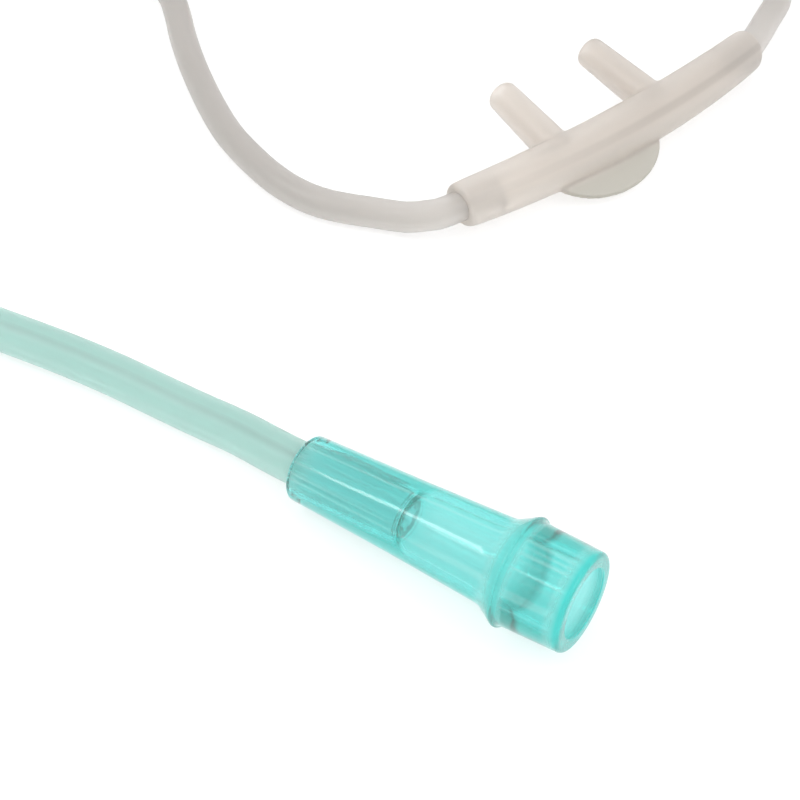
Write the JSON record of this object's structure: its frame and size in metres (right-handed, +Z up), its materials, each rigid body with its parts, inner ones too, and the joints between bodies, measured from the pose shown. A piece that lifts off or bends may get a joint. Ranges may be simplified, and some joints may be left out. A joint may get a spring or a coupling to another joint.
{
  "type": "nasal oxygen cannula",
  "caption": "Two-prong nasal cannula: soft clear facepiece, headset tubes with slider and Y, coiled green supply tube and stepped oxygen connector.",
  "frame": {"origin": "under the middle of the facepiece's box, on the floor that the cannula lies on", "axes": "+Z up; +X along the long side of the stored layout, from the coil towards the facepiece; +Y away from the connector, the side that the prongs point to. The facepiece lies turned 38.6 degrees anticlockwise from +X"},
  "size_m": [0.2109, 0.138, 0.0126],
  "materials": {
    "soft_clear": "milky translucent soft vinyl, satin",
    "headset_tube": "milky translucent extruded vinyl tube",
    "clear_fitting": "clear moulded vinyl",
    "supply_tube": "pale green translucent extruded vinyl tube",
    "teal_vinyl": "teal green translucent glossy soft vinyl",
    "white_tie": "white paper-covered twist tie"
  },
  "bodies": {
    "cannula": {"nasal_prong_body": "soft_clear", "headset_tube_left": "headset_tube", "headset_tube_right": "headset_tube", "y_junction": "clear_fitting", "supply_tube_start": "supply_tube", "supply_coil": "supply_tube", "supply_tube": "supply_tube", "oxygen_connector": "teal_vinyl", "coil_tie": "white_tie"},
    "slider": {"slider": "clear_fitting"}
  },
  "joints": [
    {"name": "slider_slide", "type": "slide", "parent": "cannula", "child": "slider", "axis": [-1, 0, 0], "range_m": [0, 0.022]}
  ]
}
